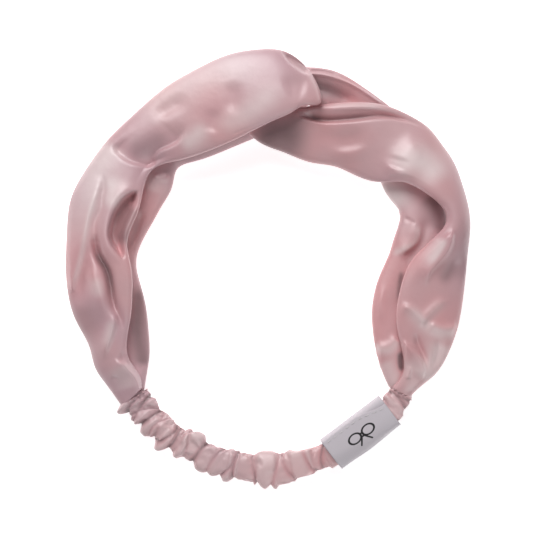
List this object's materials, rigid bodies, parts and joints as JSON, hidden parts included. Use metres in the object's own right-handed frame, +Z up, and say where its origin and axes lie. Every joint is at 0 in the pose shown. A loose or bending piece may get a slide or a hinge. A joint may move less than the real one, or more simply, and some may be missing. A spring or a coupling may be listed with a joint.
{
  "type": "knotted headband",
  "caption": "Soft satin headband of two gathered cloth tubes linked in a twist knot at the front and joined at the nape by an elastic in a gathered casing with a loose ribbon label.",
  "frame": {"origin": "middle of the ring's footprint, on the surface that it lies on", "axes": "+Z up, square to the ring's plane; +Y from the middle of the ring to the knot's side; +X to the right, towards the side whose tube is the eye of the knot"},
  "size_m": [0.1648, 0.1761, 0.028],
  "materials": {
    "satin": "dusty-pink satin, soft directional sheen",
    "casing_satin": "the same satin, gathered into fine ruffles",
    "elastic": "woven flat elastic",
    "label_ribbon": "pale satin ribbon, fine cross ribs, printed mark",
    "label_thread": "fine polyester thread",
    "thread": "pink polyester sewing thread"
  },
  "bodies": {
    "right_half": {"right_band": "satin", "right_band_seam": "thread", "right_join_stitching": "thread", "right_elastic_tack": "thread", "elastic_casing": "casing_satin", "casing_seam": "thread", "elastic": "elastic", "left_elastic_tack": "thread"},
    "left_half": {"left_band": "satin", "left_band_seam": "thread", "left_join_stitching": "thread"},
    "label": {"label": "label_ribbon", "label_stitching": "label_thread"}
  },
  "joints": [
    {"name": "ring_spread", "type": "hinge", "parent": "right_half", "child": "left_half", "pos_m": [0.02122, 0.07347, 0.01405], "axis": [0, 0, -1], "range_deg": [0, 28], "stiffness_Nm_per_rad": 0.5, "deforming": ["elastic_casing", "elastic", "casing_seam", "left_elastic_tack"]},
    {"name": "label_slide", "type": "hinge", "parent": "right_half", "child": "label", "pos_m": [0.00004, -0.01719, 0.0056], "axis": [0, 0, 1], "range_deg": [-12, 6]}
  ]
}
